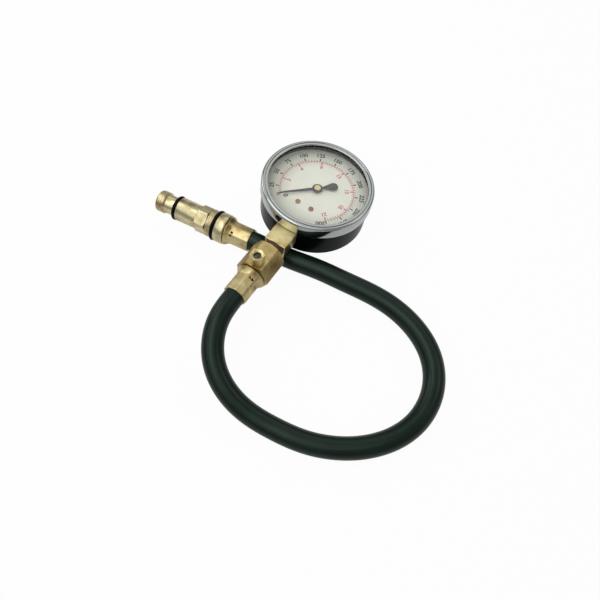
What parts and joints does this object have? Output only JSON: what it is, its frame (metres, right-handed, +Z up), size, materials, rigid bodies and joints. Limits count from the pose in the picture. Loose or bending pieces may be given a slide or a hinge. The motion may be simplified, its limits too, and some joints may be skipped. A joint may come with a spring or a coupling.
{
  "type": "compression tester",
  "caption": "Engine compression tester: dial gauge on a hexagonal tee with a release valve, short crimped rubber hose and a spark plug end with a screw-on adapter.",
  "frame": {"origin": "on the surface that the tester lies on, under the middle of the gauge and its stem, without the hose and what is on it", "axes": "+Z up, the gauge's stem points to -Y, +X to the right of the dial"},
  "size_m": [0.216, 0.1801, 0.0397],
  "materials": {
    "case_black": "gloss black enamel",
    "bezel_chrome": "polished chrome plate",
    "lens_clear": "clear acrylic",
    "dial_white": "matt white print",
    "pointer_black": "matt black",
    "fitting_brass": "turned bright brass",
    "ferrule_brass": "crimped brass sheet",
    "movement_brass": "plain brass",
    "pin_steel": "bright steel",
    "hose_rubber": "matt black rubber",
    "seal_rubber": "black nitrile"
  },
  "bodies": {
    "root": {"gauge_case": "case_black", "bezel_ring": "bezel_chrome", "lens": "lens_clear", "lens_gasket": "seal_rubber", "dial_plate": "dial_white", "dial_screws": "fitting_brass", "hairspring": "pin_steel", "hairspring_stud": "movement_brass", "bourdon_tube": "movement_brass", "movement_back_plate": "movement_brass", "movement_front_plate": "movement_brass", "movement_pillars": "movement_brass", "movement_screws": "pin_steel", "socket": "fitting_brass", "case_screws": "pin_steel", "tee_body": "fitting_brass", "release_body": "fitting_brass", "release_spring": "pin_steel", "ferrule_gauge": "ferrule_brass", "hose": "hose_rubber", "ferrule_far": "ferrule_brass", "end_fitting": "fitting_brass", "o_ring_18": "seal_rubber"},
    "sector": {"sector_gear": "movement_brass", "sector_arbor": "movement_brass", "tail_pin": "pin_steel"},
    "pointer": {"pointer": "pointer_black", "pointer_hub": "fitting_brass", "pinion_arbor": "movement_brass", "hairspring_collet": "movement_brass"},
    "link": {"link": "movement_brass", "tip_pin": "pin_steel", "tube_tip": "movement_brass"},
    "release": {"release_pin": "pin_steel", "release_seal": "seal_rubber"},
    "adapter_ring": {"o_ring_14": "seal_rubber"},
    "adapter": {"adapter_14": "fitting_brass", "core_body": "fitting_brass", "core_spring": "pin_steel"},
    "core": {"core_pin": "pin_steel", "core_seal": "seal_rubber"}
  },
  "joints": [
    {"name": "sector_swing", "type": "hinge", "parent": "root", "child": "sector", "pos_m": [0.01238, 0.03379, 0.01528], "axis": [0.0872, 0.0853, 0.9925], "range_deg": [0, 36]},
    {"name": "pointer_spin", "type": "hinge", "parent": "root", "child": "pointer", "pos_m": [-0.00081, 0.02627, 0.01708], "axis": [0.0872, 0.0853, 0.9925], "range_deg": [-270, 0], "deforming": ["hairspring"]},
    {"name": "link_slide", "type": "slide", "parent": "root", "child": "link", "axis": [0.3407, 0.9337, -0.1102], "range_m": [0, 0.00309], "stiffness_N_per_m": 900, "deforming": ["bourdon_tube"]},
    {"name": "release_press", "type": "slide", "parent": "root", "child": "release", "axis": [-0.0872, -0.0853, -0.9925], "range_m": [0, 0.0014], "stiffness_N_per_m": 600, "springref_m": -0.001, "deforming": ["release_spring"]},
    {"name": "adapter_advance", "type": "slide", "parent": "root", "child": "adapter_ring", "axis": [-0.9954, -0.0923, 0.0262], "range_m": [0, 0.009]},
    {"name": "adapter_screw", "type": "hinge", "parent": "adapter_ring", "child": "adapter", "pos_m": [-0.0201, -0.0188, 0.0094], "axis": [-0.9954, -0.0923, 0.0262], "range_deg": [0, 2160]},
    {"name": "core_lift", "type": "slide", "parent": "adapter", "child": "core", "axis": [0.9954, 0.0923, -0.0262], "range_m": [0, 0.0012], "stiffness_N_per_m": 200, "springref_m": -0.001, "deforming": ["core_spring"]}
  ],
  "couplings": [
    {"joint": "sector_swing", "follows": "link_slide", "rad_per_m": 203.34},
    {"joint": "pointer_spin", "follows": "link_slide", "rad_per_m": -1525},
    {"joint": "adapter_screw", "follows": "adapter_advance", "rad_per_m": 4188.7}
  ]
}
